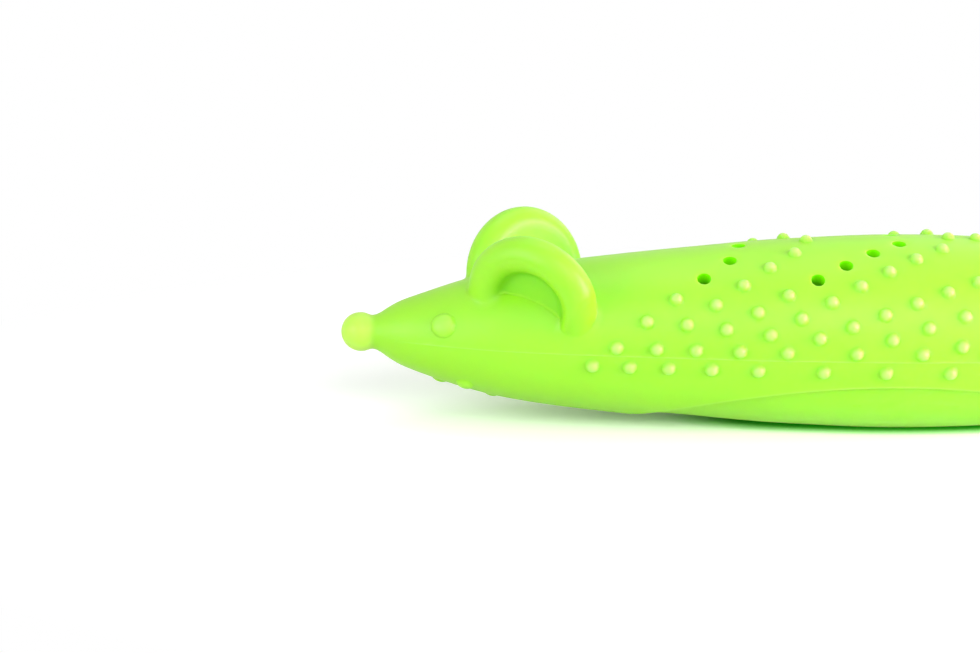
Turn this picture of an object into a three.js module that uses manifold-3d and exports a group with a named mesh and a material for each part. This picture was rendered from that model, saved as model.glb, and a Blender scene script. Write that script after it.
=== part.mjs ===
// Catnip mouse: a hollow silicone toy with a ball nose, cupped ears, lines of small bumps and vent holes, a
// lens-shaped lid in its belly that carries the dried catnip, and a flexible tail.
// Millimetres, +Z up. The nose points to -X, and z = 0 is the surface that the belly rests on.
import * as THREE from "three";
import { mergeVertices } from "three/addons/utils/BufferGeometryUtils.js";
import Module from "manifold-3d";

const wasm = await Module();
wasm.setup();

// Body: a round skin about one straight axis
const BODY_LENGTH = 153; // nose tip to rump
const BODY_RADIUS = 17.5; // at the widest place
const WALL = 2.5;
const NOSE_RADIUS = 3.4;
const NECK_GROOVE = 0.43; // how much the neck is thinner than the nose ball
const NECK_LENGTH = 2.45; // centre of the nose ball to the narrowest place
const WIDEST_SHARE = 0.64; // of the body's length
const RUMP_FULLNESS = 2.4; // exponent of the superellipse that closes the rear
// The skin from the neck to the widest place: shares of that length, and of the rise in radius.
const FOREBODY_SHARES = [
  [0, 0],
  [0.01, 0.032],
  [0.025, 0.096],
  [0.048, 0.179],
  [0.087, 0.274],
  [0.164, 0.436],
  [0.23, 0.546],
  [0.316, 0.642],
  [0.433, 0.735],
  [0.588, 0.838],
  [0.78, 0.945],
  [1, 1],
];

// Chamber for the catnip, inside the body
const CHAMBER_START_SHARE = 0.18; // of the body's length
const CHAMBER_END_ROUND = 8; // length over which each end of the chamber closes

// Eyes and chin nubs
const EYE_RADIUS = 2.2;
const EYE_HEIGHT = 1.1;
const EYE_SHARE = 0.1142; // of the body's length
const EYE_ANGLE = 26.4; // degrees above the flank
const NUB_RADIUS = 1.45;
const NUB_HEIGHT = 0.7;
// Nubs: share of the body's length, and degrees above the flank.
const NUB_SHARES = [
  [0.1125, -90],
  [0.1395, -52],
  [0.1725, -90],
];

// Profile of every dome: its foot's radius, then its shoulder's radius and height.
const DOME_FOOT_SHARE = 1.15;
const DOME_SHOULDER_SHARES = [0.72, 0.72];

// Ears: a rolled rim round a shallow cup, half sunk in the head
const EAR_RADIUS = 12.02; // to the outside of the rim
const EAR_RIM = 3.02; // radius of the roll
const EAR_CUP_DEPTH = 2.72; // crest of the rim to the cup's floor
const EAR_DISH = 0.5; // extra hollow at the middle of the cup
const EAR_BACK_DISH = 0.85; // hollow of the ear's back, from the crest of the rim
const EAR_SHARE = 0.2127; // of the body's length
const EAR_ANGLE = 43.3; // degrees above the flank
const EAR_RISE = 0.14; // centre of the ear above the skin
const EAR_TURN = 32; // degrees that the cup faces towards the nose
const EAR_LEAN = 13.4; // degrees that the cup faces down
const EAR_TUCK = 2.8; // how far its lower rear edge is pressed into the body
const EAR_TUCK_FROM = 4; // from the ear's centre to where that starts
const EAR_TUCK_OVER = 5; // length over which it grows
const EAR_TUCK_TURN = 50; // degrees below level of the way to that edge, along the ear
const EAR_TUCK_FALL = 17; // degrees below level of the way that it is pressed

// Bumps and vents
const BUMP_RADIUS = 1.2;
const BUMP_HEIGHT = 1;
const BUMP_PITCH = 6; // along a line
const VENT_RADIUS = 1.2;
const FLANK_ABOVE = 1.6; // upper flank row above the parting line
const FLANK_BELOW = 1.75; // lower flank row below it
// Places along the two flank rows, as shares of the body's length.
const UPPER_ROW_SHARES = [0.304, 0.348, 0.391, 0.439, 0.491, 0.567, 0.64, 0.715, 0.79, 0.863];
const LOWER_ROW_SHARES = [0.278, 0.319, 0.362, 0.409, 0.46, 0.532, 0.601, 0.673, 0.746, 0.819];
// Lines that climb from the flank to the crown: where each starts, as a share of the body's length, its
// angle there and its climb from one bump to the next, in degrees, its pitch as a share of BUMP_PITCH, and
// its counts of bumps and of vents above them.
const LINE_SHARES = [
  { start: 0.337, angle: 24.7, climb: 15, pitch: 1.05, bumps: 2, vents: 2 },
  { start: 0.381, angle: 22.5, climb: 12.5, pitch: 0.99, bumps: 5, vents: 0 },
  { start: 0.424, angle: 19.4, climb: 10.1, pitch: 1, bumps: 3, vents: 4 },
  { start: 0.472, angle: 16, climb: 9.5, pitch: 0.985, bumps: 7, vents: 0 },
  { start: 0.526, angle: 14, climb: 6.6, pitch: 0.98, bumps: 9, vents: 0 },
  { start: 0.606, angle: 13.3, climb: 6.5, pitch: 1.09, bumps: 7, vents: 0 },
  { start: 0.684, angle: 9.6, climb: 7, pitch: 1.08, bumps: 5, vents: 0 },
  { start: 0.761, angle: 11, climb: 7, pitch: 1.08, bumps: 3, vents: 0 },
  { start: 0.757, angle: 73, climb: 8, pitch: 1, bumps: 2, vents: 0 },
];
// Places on the crown, where the lines of both sides meet, as shares of the body's length.
const CROWN_BUMP_SHARES = [0.527, 0.691, 0.723, 0.814];
const CROWN_VENT_SHARES = [0.45];

// Belly opening: cut by a shallow cylinder across the body
const ARCH_RADIUS = 117.5;
const ARCH_DROP = 4.5; // crown of the arch below the body's axis
const ARCH_SHARE = 0.6187; // its place along the body's length

// Belly lid: an outer skin set in from the body's, and a collar that grips inside the opening
const LID_STEP = 0.9; // from the body's skin in to the lid's
const LID_WALL = 2.2;
const LID_GAP = 0.3; // clearance to the body all round
const COLLAR_WALL = 1.5;
const COLLAR_HEIGHT = 3; // above the edge of the opening
const COLLAR_END = 2.5; // half its width at its blunt ends
const REST_DEPTH = 0.8; // how deep the flat that it rests on is cut

// Catnip
const FILL_HEIGHT = 15; // of the mound above the lid's floor
const FILL_GAP = 0.3;
const FILL_REACH_SHARE = 0.96; // of the lid's inside length

// Tail
const TAIL_LENGTH = 60; // from the middle of its root
const TAIL_RADIUS = 3.8; // at the root
const TAIL_TIP_RADIUS = 2;
const TAIL_ROOT_RADIUS = 5.2; // of the ball that sits in the rump
const TAIL_SEAT = 1; // middle of the ball inside the rump's end
const TAIL_GAP = 0.3;
const TAIL_SWAY = 5; // sideways wave
const TAIL_LIFT = 6; // rise of the tip

// Counts of facets
const BODY_SIDES = 32;
const BODY_STEPS = 26;
const CHAMBER_SIDES = 24;
const CHAMBER_STEPS = 20;
const EAR_SIDES = 24;
const EAR_STEPS = 8;
const EAR_BACK_STEPS = 2;
const BUMP_SIDES = 6;
const BALL_SIDES = 18;
const DOME_SIDES = 10;
const VENT_SIDES = 8;
const LENS_STEPS = 18;
const TAIL_SIDES = 12;
const TAIL_STEPS = 16;

const OVERRUN = 2; // every cut reaches this far past what it cuts
const WELD = 1e-5; // points closer than this are one

// Places that follow from the sizes
const noseX = NOSE_RADIUS;
const neckX = NOSE_RADIUS + NECK_LENGTH;
const neckRadius = NOSE_RADIUS - NECK_GROOVE;
const widestX = BODY_LENGTH * WIDEST_SHARE;
const archX = BODY_LENGTH * ARCH_SHARE;
const tailX = BODY_LENGTH - TAIL_SEAT;
const chamberStart = BODY_LENGTH * CHAMBER_START_SHARE;
const chamberEnd = tailX - TAIL_ROOT_RADIUS - TAIL_GAP - WALL;
const restDrop = BODY_RADIUS - LID_STEP - REST_DEPTH;
const trayInset = LID_STEP + LID_WALL;
const overallLength = tailX + TAIL_LENGTH;

// Smooth curve through points of rising x that doesn't overshoot them.
function smoothThrough(points, x) {
  const last = points.length - 1;
  let i = 0;
  while (i < last - 1 && x > points[i + 1][0]) i += 1;
  const slope = (k) => (points[k + 1][1] - points[k][1]) / (points[k + 1][0] - points[k][0]);
  const tangent = (k) => {
    if (k === 0) return slope(0);
    if (k === last) return 0;
    const [before, after] = [slope(k - 1), slope(k)];
    return before * after > 0 ? (2 * before * after) / (before + after) : 0;
  };
  const [x0, y0] = points[i];
  const [x1, y1] = points[i + 1];
  const width = x1 - x0;
  const t = (x - x0) / width;
  const rise = t * t * (3 - 2 * t);
  const startPull = t * (1 - t) * (1 - t) * width * tangent(i);
  const endPull = t * t * (t - 1) * width * tangent(i + 1);
  return y0 + (y1 - y0) * rise + startPull + endPull;
}

// Radius of the body's skin at a distance from the nose tip.
function skinRadius(x) {
  if (x <= neckX) return neckRadius;
  if (x < widestX) {
    const share = smoothThrough(FOREBODY_SHARES, (x - neckX) / (widestX - neckX));
    return neckRadius + (BODY_RADIUS - neckRadius) * share;
  }
  const back = Math.min((x - widestX) / (BODY_LENGTH - widestX), 1);
  return BODY_RADIUS * (1 - back ** RUMP_FULLNESS) ** (1 / RUMP_FULLNESS);
}

// 0 at an end and 1 inside, rounded like a quarter of a circle over the given length.
function endRound(distance, length) {
  const t = Math.min(Math.max(distance / length, 0), 1);
  return Math.sqrt(1 - (1 - t) ** 2);
}

// Radius of the chamber inside the body.
function chamberRadius(x) {
  const ends = endRound(x - chamberStart, CHAMBER_END_ROUND) * endRound(chamberEnd - x, CHAMBER_END_ROUND);
  return (skinRadius(x) - WALL) * ends;
}

// Height of the belly arch above the body's axis.
function archHeight(x) {
  return Math.sqrt(ARCH_RADIUS ** 2 - (x - archX) ** 2) - ARCH_RADIUS - ARCH_DROP;
}

// Half the width of the belly opening where the arch meets the chamber's wall, set in from that wall by the
// given distance, or 0 outside it.
function lensHalfWidth(x, inset) {
  const radius = Math.max(chamberRadius(x) - inset, 0);
  return Math.sqrt(Math.max(radius ** 2 - archHeight(x) ** 2, 0));
}

// The two ends of the stretch round the arch's crown over which a test holds.
function spanWhere(test) {
  const step = BODY_RADIUS / 50;
  let from = archX;
  while (test(from)) from -= step;
  let to = archX;
  while (test(to)) to += step;
  return [from, to];
}

// A closed geometry as a solid that can be joined and cut.
function solid(geometry) {
  const bare = geometry.index ? geometry.toNonIndexed() : geometry.clone();
  bare.deleteAttribute("normal");
  bare.deleteAttribute("uv");
  const merged = mergeVertices(bare, WELD);
  const corners = merged.index.array;
  const kept = [];
  for (let i = 0; i < corners.length; i += 3) {
    const [a, b, c] = corners.subarray(i, i + 3);
    if (a !== b && b !== c && c !== a) kept.push(a, b, c);
  }
  const vertProperties = merged.attributes.position.array;
  return new wasm.Manifold(new wasm.Mesh({ numProp: 3, vertProperties, triVerts: new Uint32Array(kept) }));
}

// A named mesh of a solid.
function meshOf(name, shape, material) {
  const { vertProperties, triVerts } = shape.getMesh();
  const geometry = new THREE.BufferGeometry();
  geometry.setAttribute("position", new THREE.BufferAttribute(vertProperties, 3));
  geometry.setIndex(new THREE.BufferAttribute(triVerts, 1));
  geometry.computeVertexNormals();
  const mesh = new THREE.Mesh(geometry, material);
  mesh.name = name;
  return mesh;
}

// A solid of revolution about the body's axis, with its stations closer together towards both ends.
function revolve(radiusAt, from, to, steps, sides) {
  const profile = [new THREE.Vector2(0, from)];
  for (let i = 0; i <= steps; i += 1) {
    const x = from + ((to - from) * (1 - Math.cos((Math.PI * i) / steps))) / 2;
    const radius = radiusAt(x);
    if (radius > WELD) profile.push(new THREE.Vector2(radius, x));
  }
  profile.push(new THREE.Vector2(0, to));
  return solid(new THREE.LatheGeometry(profile, sides).rotateZ(-Math.PI / 2));
}

// A ball on the body's axis.
function ball(radius, x) {
  return solid(new THREE.SphereGeometry(radius, BALL_SIDES, BALL_SIDES / 2 + 1).translate(x, 0, 0));
}

// The space under the belly arch, which is raised by the given height, right across the body.
function underArch(raise) {
  const radius = ARCH_RADIUS + raise;
  const centreZ = -ARCH_DROP - ARCH_RADIUS;
  const half = Math.acos((-BODY_RADIUS - OVERRUN - centreZ) / radius);
  const width = 2 * (BODY_RADIUS + OVERRUN);
  const shape = new THREE.Shape();
  shape.absarc(archX, centreZ, radius, Math.PI / 2 - half, Math.PI / 2 + half);
  const geometry = new THREE.ExtrudeGeometry(shape, {
    depth: width,
    bevelEnabled: false,
    curveSegments: 2 * LENS_STEPS,
  });
  return solid(geometry.rotateX(Math.PI / 2).translate(0, width / 2, 0));
}

// An upright prism with the outline of the belly opening, set in from the chamber's wall there.
function lensPrism(inset) {
  const [from, to] = spanWhere((x) => lensHalfWidth(x, inset) > COLLAR_END);
  const edge = [];
  for (let i = 0; i <= LENS_STEPS; i += 1) {
    const x = from + ((to - from) * (1 - Math.cos((Math.PI * i) / LENS_STEPS))) / 2;
    edge.push(new THREE.Vector2(x, lensHalfWidth(x, inset)));
  }
  const nearEdge = edge.map((point) => new THREE.Vector2(point.x, -point.y));
  const shape = new THREE.Shape([...nearEdge, ...edge.reverse()]);
  const geometry = new THREE.ExtrudeGeometry(shape, { depth: BODY_RADIUS, bevelEnabled: false });
  return solid(geometry.translate(0, 0, -BODY_RADIUS));
}

// Moves a piece modelled about +Y so that +Y points out of the skin at a place on it. side is -1 on the
// mouse's left and 1 on its right.
function placeOnSkin(geometry, x, degrees, side) {
  const angle = THREE.MathUtils.degToRad(degrees);
  const step = BODY_RADIUS / 100;
  const slope = (skinRadius(x + step) - skinRadius(x - step)) / (2 * step);
  const radius = skinRadius(x);
  const around = [side * Math.cos(angle), Math.sin(angle)];
  const out = new THREE.Vector3(-slope, ...around).normalize();
  const turn = new THREE.Quaternion().setFromUnitVectors(new THREE.Vector3(0, 1, 0), out);
  return geometry.applyQuaternion(turn).translate(x, radius * around[0], radius * around[1]);
}

// A low dome with its foot in the skin.
function dome(radius, height, sides) {
  const profile = [
    new THREE.Vector2(0, -height / 2),
    new THREE.Vector2(radius * DOME_FOOT_SHARE, -height / 2),
    new THREE.Vector2(radius * DOME_SHOULDER_SHARES[0], height * DOME_SHOULDER_SHARES[1]),
    new THREE.Vector2(0, height),
  ];
  return new THREE.LatheGeometry(profile, sides);
}

// Every place of a climbing line: x, degrees above the flank, and whether it is a vent.
function placesOnLine(line) {
  const places = [];
  let x = BODY_LENGTH * line.start;
  for (let i = 0; i < line.bumps + line.vents; i += 1) {
    places.push({ x, degrees: line.angle + i * line.climb, vent: i >= line.bumps });
    const along = skinRadius(x) * THREE.MathUtils.degToRad(line.climb);
    const pitch = BUMP_PITCH * line.pitch;
    x += Math.sqrt(Math.max(pitch ** 2 - along ** 2, 0));
  }
  return places;
}

// Places on the crown.
function crownPlaces(shares, vent) {
  return shares.map((share) => ({ x: BODY_LENGTH * share, degrees: 90, side: 1, vent }));
}

// Places along a flank row, a fixed distance above the parting line.
function flankRow(shares, above) {
  return shares.map((share) => {
    const x = BODY_LENGTH * share;
    return { x, degrees: THREE.MathUtils.radToDeg(above / skinRadius(x)), vent: false };
  });
}

// All bumps and vents: those of both sides, then those on the crown.
function studPlaces() {
  const oneSide = [
    ...flankRow(UPPER_ROW_SHARES, FLANK_ABOVE),
    ...flankRow(LOWER_ROW_SHARES, -FLANK_BELOW),
    ...LINE_SHARES.flatMap(placesOnLine),
  ];
  return [
    ...oneSide.map((place) => ({ ...place, side: -1 })),
    ...oneSide.map((place) => ({ ...place, side: 1 })),
    ...crownPlaces(CROWN_BUMP_SHARES, false),
    ...crownPlaces(CROWN_VENT_SHARES, true),
  ];
}

// An ear, revolved about the line that its cup faces along: the dished back, the rolled rim and the floor.
function ear(side) {
  const ringRadius = EAR_RADIUS - EAR_RIM;
  const floor = EAR_RIM - EAR_CUP_DEPTH;
  const fromAngle = 1.5 * Math.PI;
  const toAngle = 3 * Math.PI - Math.asin(floor / EAR_RIM);
  const profile = [];
  for (let i = 0; i < EAR_BACK_STEPS; i += 1) {
    const out = i / EAR_BACK_STEPS;
    profile.push(new THREE.Vector2(ringRadius * out, EAR_BACK_DISH * (1 - out ** 2) - EAR_RIM));
  }
  for (let i = 0; i <= EAR_STEPS; i += 1) {
    const angle = fromAngle + ((toAngle - fromAngle) * i) / EAR_STEPS;
    profile.push(new THREE.Vector2(ringRadius + EAR_RIM * Math.cos(angle), EAR_RIM * Math.sin(angle)));
  }
  profile.push(new THREE.Vector2(0, floor - EAR_DISH));
  const turn = THREE.MathUtils.degToRad(EAR_TURN);
  const lean = THREE.MathUtils.degToRad(EAR_LEAN);
  const facing = new THREE.Vector3(
    -Math.cos(lean) * Math.sin(turn),
    side * Math.cos(lean) * Math.cos(turn),
    -Math.sin(lean),
  );
  const aim = new THREE.Quaternion().setFromUnitVectors(new THREE.Vector3(0, 1, 0), facing);
  const x = BODY_LENGTH * EAR_SHARE;
  const radius = skinRadius(x) + EAR_RISE;
  const angle = THREE.MathUtils.degToRad(EAR_ANGLE);
  const geometry = new THREE.LatheGeometry(profile, EAR_SIDES).applyQuaternion(aim);
  tuckIn(geometry, facing, side);
  return solid(geometry.translate(x, side * radius * Math.cos(angle), radius * Math.sin(angle)));
}

// Presses the lower rear edge of an ear into the body.
function tuckIn(geometry, facing, side) {
  const turn = THREE.MathUtils.degToRad(EAR_TUCK_TURN);
  const fall = THREE.MathUtils.degToRad(EAR_TUCK_FALL);
  const rearward = new THREE.Vector3(0, 0, -side).cross(facing).normalize();
  const upward = new THREE.Vector3(0, 0, 1).projectOnPlane(facing).normalize();
  const toEdge = rearward.multiplyScalar(Math.cos(turn)).addScaledVector(upward, -Math.sin(turn));
  const inward = new THREE.Vector3(0, -side * Math.cos(fall), -Math.sin(fall));
  const places = geometry.attributes.position;
  const place = new THREE.Vector3();
  for (let i = 0; i < places.count; i += 1) {
    place.fromBufferAttribute(places, i);
    const share = THREE.MathUtils.smoothstep(place.dot(toEdge) - EAR_TUCK_FROM, 0, EAR_TUCK_OVER);
    place.addScaledVector(inward, EAR_TUCK * share);
    places.setXYZ(i, place.x, place.y, place.z);
  }
}

// Everything that stands on the skin of the body.
function features() {
  const pieces = [ear(-1), ear(1)];
  for (const side of [-1, 1]) {
    const eye = dome(EYE_RADIUS, EYE_HEIGHT, DOME_SIDES);
    pieces.push(solid(placeOnSkin(eye, BODY_LENGTH * EYE_SHARE, EYE_ANGLE, side)));
  }
  for (const [share, degrees] of NUB_SHARES) {
    for (const side of degrees === -90 ? [1] : [-1, 1]) {
      const nub = dome(NUB_RADIUS, NUB_HEIGHT, DOME_SIDES);
      pieces.push(solid(placeOnSkin(nub, BODY_LENGTH * share, degrees, side)));
    }
  }
  for (const { x, degrees, side, vent } of studPlaces()) {
    if (vent) continue;
    const bump = dome(BUMP_RADIUS, BUMP_HEIGHT, BUMP_SIDES);
    pieces.push(solid(placeOnSkin(bump, x, degrees, side)));
  }
  return pieces;
}

function vents() {
  const depth = WALL + 2 * OVERRUN;
  return studPlaces()
    .filter((place) => place.vent)
    .map(({ x, degrees, side }) => {
      const hole = new THREE.CylinderGeometry(VENT_RADIUS, VENT_RADIUS, depth, VENT_SIDES);
      return solid(placeOnSkin(hole, x, degrees, side));
    });
}

// The hollow silicone moulding.
function bodyShell() {
  const nose = ball(NOSE_RADIUS, noseX);
  let shape = revolve(skinRadius, noseX, BODY_LENGTH, BODY_STEPS, BODY_SIDES).add(nose);
  for (const piece of features()) shape = shape.add(piece);
  shape = shape.subtract(revolve(chamberRadius, chamberStart, chamberEnd, CHAMBER_STEPS, CHAMBER_SIDES));
  for (const hole of vents()) shape = shape.subtract(hole);
  return shape.subtract(underArch(0)).subtract(ball(TAIL_ROOT_RADIUS + TAIL_GAP, tailX));
}

// The lid's outer skin, or its inside when the inset is larger.
function lidRevolve(inset) {
  const [from, to] = spanWhere((x) => skinRadius(x) + archHeight(x) > 0);
  return revolve((x) => skinRadius(x) - inset, from, to, CHAMBER_STEPS, BODY_SIDES);
}

// The belly lid: a boat-shaped tray with a collar.
function bellyLid() {
  const skin = lidRevolve(LID_STEP);
  const tray = skin.intersect(underArch(-LID_GAP));
  const collar = skin.intersect(underArch(COLLAR_HEIGHT)).intersect(lensPrism(LID_GAP));
  const hollow = lidRevolve(trayInset).intersect(lensPrism(LID_GAP + COLLAR_WALL));
  const below = new THREE.BoxGeometry(BODY_LENGTH, 2 * BODY_RADIUS, BODY_RADIUS);
  below.translate(archX, 0, -restDrop - BODY_RADIUS / 2);
  return tray.add(collar).subtract(hollow).subtract(solid(below));
}

// The mound of dried catnip that lies in the lid.
function catnipFill() {
  const inside = LID_GAP + COLLAR_WALL + FILL_GAP;
  const [from, to] = spanWhere((x) => lensHalfWidth(x, inside) > 0);
  const reach = ((to - from) / 2) * FILL_REACH_SHARE;
  const mound = new THREE.SphereGeometry(1, BODY_SIDES, CHAMBER_STEPS)
    .scale(reach, BODY_RADIUS, FILL_HEIGHT)
    .translate((from + to) / 2, 0, trayInset - BODY_RADIUS);
  return lidRevolve(trayInset + FILL_GAP).intersect(lensPrism(inside)).intersect(solid(mound));
}

// The tail: a ball root, and a taper with a round tip that waves sideways and lifts.
function tail() {
  const taper = (x) => {
    const radius = TAIL_RADIUS + ((TAIL_TIP_RADIUS - TAIL_RADIUS) * x) / TAIL_LENGTH;
    return radius * endRound(TAIL_LENGTH - x, TAIL_TIP_RADIUS);
  };
  const profile = [new THREE.Vector2(0, 0)];
  for (let i = 0; i <= TAIL_STEPS; i += 1) {
    const x = TAIL_LENGTH * Math.sin((Math.PI * i) / (2 * TAIL_STEPS));
    if (taper(x) > WELD) profile.push(new THREE.Vector2(taper(x), x));
  }
  profile.push(new THREE.Vector2(0, TAIL_LENGTH));
  const stem = new THREE.LatheGeometry(profile, TAIL_SIDES).rotateZ(-Math.PI / 2);
  const points = stem.attributes.position;
  for (let i = 0; i < points.count; i += 1) {
    const along = points.getX(i) / TAIL_LENGTH;
    points.setY(i, points.getY(i) + TAIL_SWAY * along * Math.sin(2 * Math.PI * along));
    points.setZ(i, points.getZ(i) + TAIL_LIFT * along ** 2);
  }
  return ball(TAIL_ROOT_RADIUS, 0).add(solid(stem));
}

const silicone = new THREE.MeshStandardMaterial({ color: 0xb2fc54, roughness: 0.45, metalness: 0 });
const lidSilicone = silicone.clone();
const tailSilicone = silicone.clone();
const driedLeaf = new THREE.MeshStandardMaterial({ color: 0x6f7a3a, roughness: 0.95, metalness: 0 });

// The body's axis lies above the rest surface by the lid's reach, and the origin is under the middle of the
// overall length.
const mouse = new THREE.Group();
mouse.position.set(-overallLength / 2, 0, restDrop);
mouse.add(meshOf("body_shell", bodyShell(), silicone));

const lidGroup = new THREE.Group();
lidGroup.add(meshOf("belly_lid", bellyLid(), lidSilicone));
lidGroup.add(meshOf("catnip_fill", catnipFill(), driedLeaf));
mouse.add(lidGroup);

const tailMesh = meshOf("tail", tail(), tailSilicone);
tailMesh.position.set(tailX, 0, 0);
mouse.add(tailMesh);

export default mouse;
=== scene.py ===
"""Catnip mouse: a hollow silicone toy with cupped ears, bumps and vents, built round its CAD frame."""

import math
import random

import bpy
from bpy.props import FloatProperty, FloatVectorProperty, IntProperty, PointerProperty
from mathutils import Matrix, Vector
from mathutils.kdtree import KDTree


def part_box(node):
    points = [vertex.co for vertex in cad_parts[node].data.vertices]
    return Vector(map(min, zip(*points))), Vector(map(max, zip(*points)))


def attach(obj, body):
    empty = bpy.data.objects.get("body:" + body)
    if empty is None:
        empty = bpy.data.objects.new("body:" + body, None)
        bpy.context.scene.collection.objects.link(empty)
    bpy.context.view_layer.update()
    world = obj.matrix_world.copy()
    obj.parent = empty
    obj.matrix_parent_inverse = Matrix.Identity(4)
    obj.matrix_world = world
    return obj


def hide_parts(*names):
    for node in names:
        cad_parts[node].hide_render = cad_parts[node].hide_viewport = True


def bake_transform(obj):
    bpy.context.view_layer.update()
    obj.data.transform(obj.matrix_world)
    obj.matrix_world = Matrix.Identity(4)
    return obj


bl_info = {
    "name": "Catnip Mouse",
    "version": (1, 0, 0),
    "blender": (4, 5, 0),
    "location": "3D View > Sidebar > Mouse",
    "description": "Builds a silicone mouse toy, its belly lid, its catnip and its tail",
    "category": "Add Mesh",
}

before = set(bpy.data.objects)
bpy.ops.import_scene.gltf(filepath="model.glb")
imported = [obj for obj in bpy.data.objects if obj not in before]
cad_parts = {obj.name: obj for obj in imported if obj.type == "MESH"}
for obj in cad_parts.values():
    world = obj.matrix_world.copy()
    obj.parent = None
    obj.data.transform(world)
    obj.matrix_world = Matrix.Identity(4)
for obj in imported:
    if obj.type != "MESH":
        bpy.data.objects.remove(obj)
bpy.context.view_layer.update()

MM = 0.001
TINY = 0.01 * MM
WHITE = (1, 1, 1, 1)

# Skin from the neck to the widest place: shares of that length, and of the rise in radius.
FOREBODY_SHARES = [
    (0, 0),
    (0.01, 0.032),
    (0.025, 0.096),
    (0.048, 0.179),
    (0.087, 0.274),
    (0.164, 0.436),
    (0.23, 0.546),
    (0.316, 0.642),
    (0.433, 0.735),
    (0.588, 0.838),
    (0.78, 0.945),
    (1, 1),
]
# Chin nubs: share of the body's length, and degrees above the flank.
NUB_PLACES = [(0.1125, -90), (0.1395, -52), (0.1725, -90)]
# Bumps of the two flank rows, as shares of the body's length.
UPPER_ROW = [0.304, 0.348, 0.391, 0.439, 0.491, 0.567, 0.64, 0.715, 0.79, 0.863]
LOWER_ROW = [0.278, 0.319, 0.362, 0.409, 0.46, 0.532, 0.601, 0.673, 0.746, 0.819]
# Lines that climb from the flank to the crown: start, angle and climb in degrees, pitch, bumps, vents.
CLIMBING_LINES = [
    (0.337, 24.7, 15, 1.05, 2, 2),
    (0.381, 22.5, 12.5, 0.99, 5, 0),
    (0.424, 19.4, 10.1, 1, 3, 4),
    (0.472, 16, 9.5, 0.985, 7, 0),
    (0.526, 14, 6.6, 0.98, 9, 0),
    (0.606, 13.3, 6.5, 1.09, 7, 0),
    (0.684, 9.6, 7, 1.08, 5, 0),
    (0.761, 11, 7, 1.08, 3, 0),
    (0.757, 73, 8, 1, 2, 0),
]
# Places on the crown, as shares of the body's length.
CROWN_BUMPS = [0.527, 0.691, 0.723, 0.814]
CROWN_VENTS = [0.45]
# Tint of the floor by how open it is: the mouse's green shade right beside it, then none.
CONTACT_TINTS = [
    (0.05, (0, 0.34, 0)),
    (0.1, (0.04, 0.44, 0.01)),
    (0.2, (0.34, 0.67, 0.26)),
    (0.35, (0.68, 0.88, 0.66)),
    (0.5, (0.9, 0.98, 0.88)),
    (0.75, (1, 1, 1)),
]
# Rays that see the plain background.
SEEN_RAYS = ("Is Camera Ray", "Is Glossy Ray", "Is Transmission Ray")
# Lamps: the way to each from the place that they light, how far away it is and its size, in metres.
LAMPS = {
    "key": ((0.86, -0.44, 0.26), 0.39, 0.25),
    "front": ((0.1, -0.85, 0.6), 0.55, 0.3),
    "rear": ((0.6, 0.62, 0.5), 0.55, 0.35),
    "top": ((-0.05, 0.2, 1), 0.5, 0.3),
    "fill": ((-0.83, -0.53, 0.3), 0.55, 0.3),
}
LIT_PLACE = Vector((-0.02, 0, 0.016))
# Stations of a skin: degrees round the nose ball, the rump and the tail's tip, and steps between them.
BALL_TURNS = range(0, 124, 6)
RUMP_TURNS = range(5, 91, 5)
TIP_TURNS = range(18, 91, 9)
NECK_STEP = 0.25 * MM
TRUNK_STEP = 0.8 * MM
RUMP_START = 0.93
# Fall of the radius from the neck to inside the nose ball.
NECK_FALL = 0.9
# Facets of what is turned or cut.
EAR_SIDES, LID_SIDES, CHAMBER_SIDES, TAIL_SIDES, VENT_SIDES, ARCH_SIDES = 128, 128, 64, 48, 32, 720
# An ear's chain: points of its back and of its cup's floor, and degrees between points of rim and fillet.
BACK_POINTS, FLOOR_POINTS, RIM_TURN, FILLET_TURN = 8, 6, 8, 15
# Reach of the softness round a vent, as a share of its radius, and how steep it is.
VENT_REACH, VENT_DEPTH = 1.4, 3
# Light that comes through the wall of the chamber, and through the lower end of a vent's wall.
CHAMBER_GLOW, LEAST_VENT_GLOW = 0.3, 0.25
# Between which values of their noise the silicone's clouds and the leaf's stalk colour come in.
CLOUD_EDGE, LEAF_EDGE = (0.35, 0.65), (0.4, 0.62)
# Distances over which the painted highlights along the parting line and along the lip fade out beside
# them.
SEAM_EDGE, LIP_EDGE = (0.05 * MM, 0.16 * MM), (0.1 * MM, 0.45 * MM)
# Distances from the nose tip over which the parting line's painted highlight comes in and the nose's
# colour goes out; that colour is painted light that comes through the thin nose ball.
SEAM_START, NOSE_EDGE = (9 * MM, 15 * MM), (4.6 * MM, 6.2 * MM)
# Tints of a dome, in its radii: where its paleness ends, and the ring's inner and outer edges. The
# paleness is painted light, for the light that comes through the thin dome and shines off it, and the ring
# is painted shade round its foot.
PALE_EDGE, RING_INSIDE, RING_OUTSIDE = (0.5, 1.15), (0.8, 1.1), (1.1, 1.9)
# Faces of a vent's wall: how near in walls, how nearly along the vent, and how wide in vent radii.
VENT_NEAR, ALONG_VENT, VENT_WIDTH = 1.5, 0.3, 1.05
# How pale an eye and a nub are painted beside a bump, as painted light, and how dark the painted shade
# ring round a dome is.
EYE_PALENESS, NUB_PALENESS, RING_SHADE = 0.4, 0.25, 0.14
# Reach of the finer skin beyond a bump's foot and an ear's, and half the width of the parting line.
BUMP_MARGIN, EAR_MARGIN, SEAM_HALF_WIDTH = 0.45 * MM, 0.4 * MM, 0.12 * MM
# Steps along the chamber, the lid and its collar's outline, and of the search for the arch's tips.
CHAMBER_STEP, LID_STEP, OUTLINE_STEP, SEARCH_STEP = 2 * MM, 1 * MM, 1.5 * MM, 0.25 * MM
# The collar's outline: its longest reach from the arch's middle, and its least half width.
OUTLINE_REACH, LEAST_HALF_WIDTH = 46 * MM, 2.5 * MM
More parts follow.
